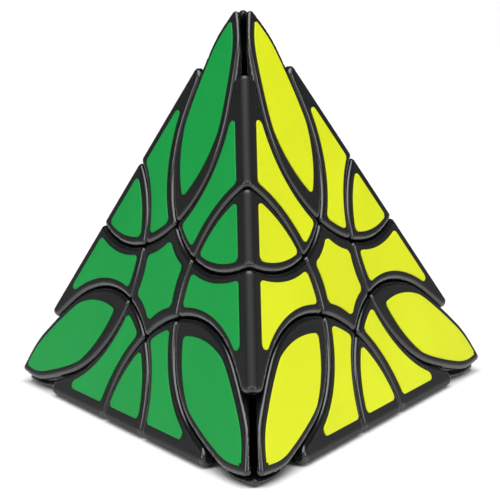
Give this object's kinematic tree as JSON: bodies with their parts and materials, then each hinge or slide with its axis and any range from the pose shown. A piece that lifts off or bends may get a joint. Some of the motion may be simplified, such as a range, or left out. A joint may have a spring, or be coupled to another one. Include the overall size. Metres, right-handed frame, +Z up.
{
  "type": "pyramid twisty puzzle",
  "caption": "Black tetrahedral twisty puzzle with round layers that turn about axes through its edges, cutting each face into a centre, petals, wings and edge leaves with coloured stickers.",
  "frame": {"origin": "centre of the base face, on the surface that the puzzle stands on", "axes": "+Z up through the top corner, -Y towards the front edge's foot, which is the front corner, +X to the right"},
  "size_m": [0.0916, 0.0799, 0.0751],
  "materials": {
    "black_plastic": "moulded ABS, satin with a soft shine on the rounded rims",
    "core_plastic": "moulded nylon, dull",
    "steel": "zinc plated",
    "spring_wire": "drawn wire",
    "sticker_green": "vinyl film, satin",
    "sticker_yellow": "vinyl film, satin",
    "sticker_blue": "vinyl film, satin",
    "sticker_red": "vinyl film, satin"
  },
  "bodies": {
    "core": {"core": "core_plastic", "axle_screws": "steel", "centre_screws": "steel", "springs": "spring_wire", "washers": "steel", "wing_cap_top_right": "black_plastic", "wing_cap_top_left": "black_plastic", "wing_cap_front_top": "black_plastic", "wing_cap_front_left": "black_plastic", "wing_cap_right_top": "black_plastic", "wing_cap_right_front": "black_plastic", "wing_cap_left_front": "black_plastic", "wing_cap_left_right": "black_plastic", "wing_bases_fixed": "black_plastic", "petal_top_back": "black_plastic", "petal_front_left_face": "black_plastic", "petal_right_right_face": "black_plastic", "petal_left_base": "black_plastic", "edge_leaf_top_right": "black_plastic", "edge_leaf_front_left": "black_plastic", "centre_base": "black_plastic", "centre_back": "black_plastic", "centre_left_face": "black_plastic", "centre_right_face": "black_plastic", "stickers_red_fixed": "sticker_red", "stickers_blue_fixed": "sticker_blue", "stickers_green_fixed": "sticker_green", "stickers_yellow_fixed": "sticker_yellow"},
    "layer_top": {"wing_cap_top_front": "black_plastic", "wing_base_top_front": "black_plastic", "petal_top_left_face": "black_plastic", "petal_top_right_face": "black_plastic", "edge_leaf_top_front": "black_plastic", "stickers_green_layer_top": "sticker_green", "stickers_yellow_layer_top": "sticker_yellow"},
    "layer_front": {"wing_cap_front_right": "black_plastic", "wing_base_front_right": "black_plastic", "petal_front_base": "black_plastic", "petal_front_right_face": "black_plastic", "edge_leaf_front_right": "black_plastic", "stickers_red_layer_front": "sticker_red", "stickers_yellow_layer_front": "sticker_yellow"},
    "layer_right": {"wing_cap_right_left": "black_plastic", "wing_base_right_left": "black_plastic", "petal_right_base": "black_plastic", "petal_right_back": "black_plastic", "edge_leaf_right_left": "black_plastic", "stickers_red_layer_right": "sticker_red", "stickers_blue_layer_right": "sticker_blue"},
    "layer_left": {"wing_cap_left_top": "black_plastic", "wing_base_left_top": "black_plastic", "petal_left_back": "black_plastic", "petal_left_left_face": "black_plastic", "edge_leaf_top_left": "black_plastic", "stickers_blue_layer_left": "sticker_blue", "stickers_green_layer_left": "sticker_green"}
  },
  "joints": [
    {"name": "turn_top", "type": "hinge", "parent": "core", "child": "layer_top", "pos_m": [0, 0, 0.02], "axis": [0, -0.4924, 0.8704], "continuous": true},
    {"name": "turn_front", "type": "hinge", "parent": "core", "child": "layer_front", "pos_m": [0, 0, 0.02], "axis": [0.4264, -0.7385, -0.5222], "continuous": true},
    {"name": "turn_right", "type": "hinge", "parent": "core", "child": "layer_right", "pos_m": [0, 0, 0.02], "axis": [0.4264, 0.7385, -0.5222], "continuous": true},
    {"name": "turn_left", "type": "hinge", "parent": "core", "child": "layer_left", "pos_m": [0, 0, 0.02], "axis": [-0.8528, 0.4924, 0.1741], "continuous": true}
  ]
}
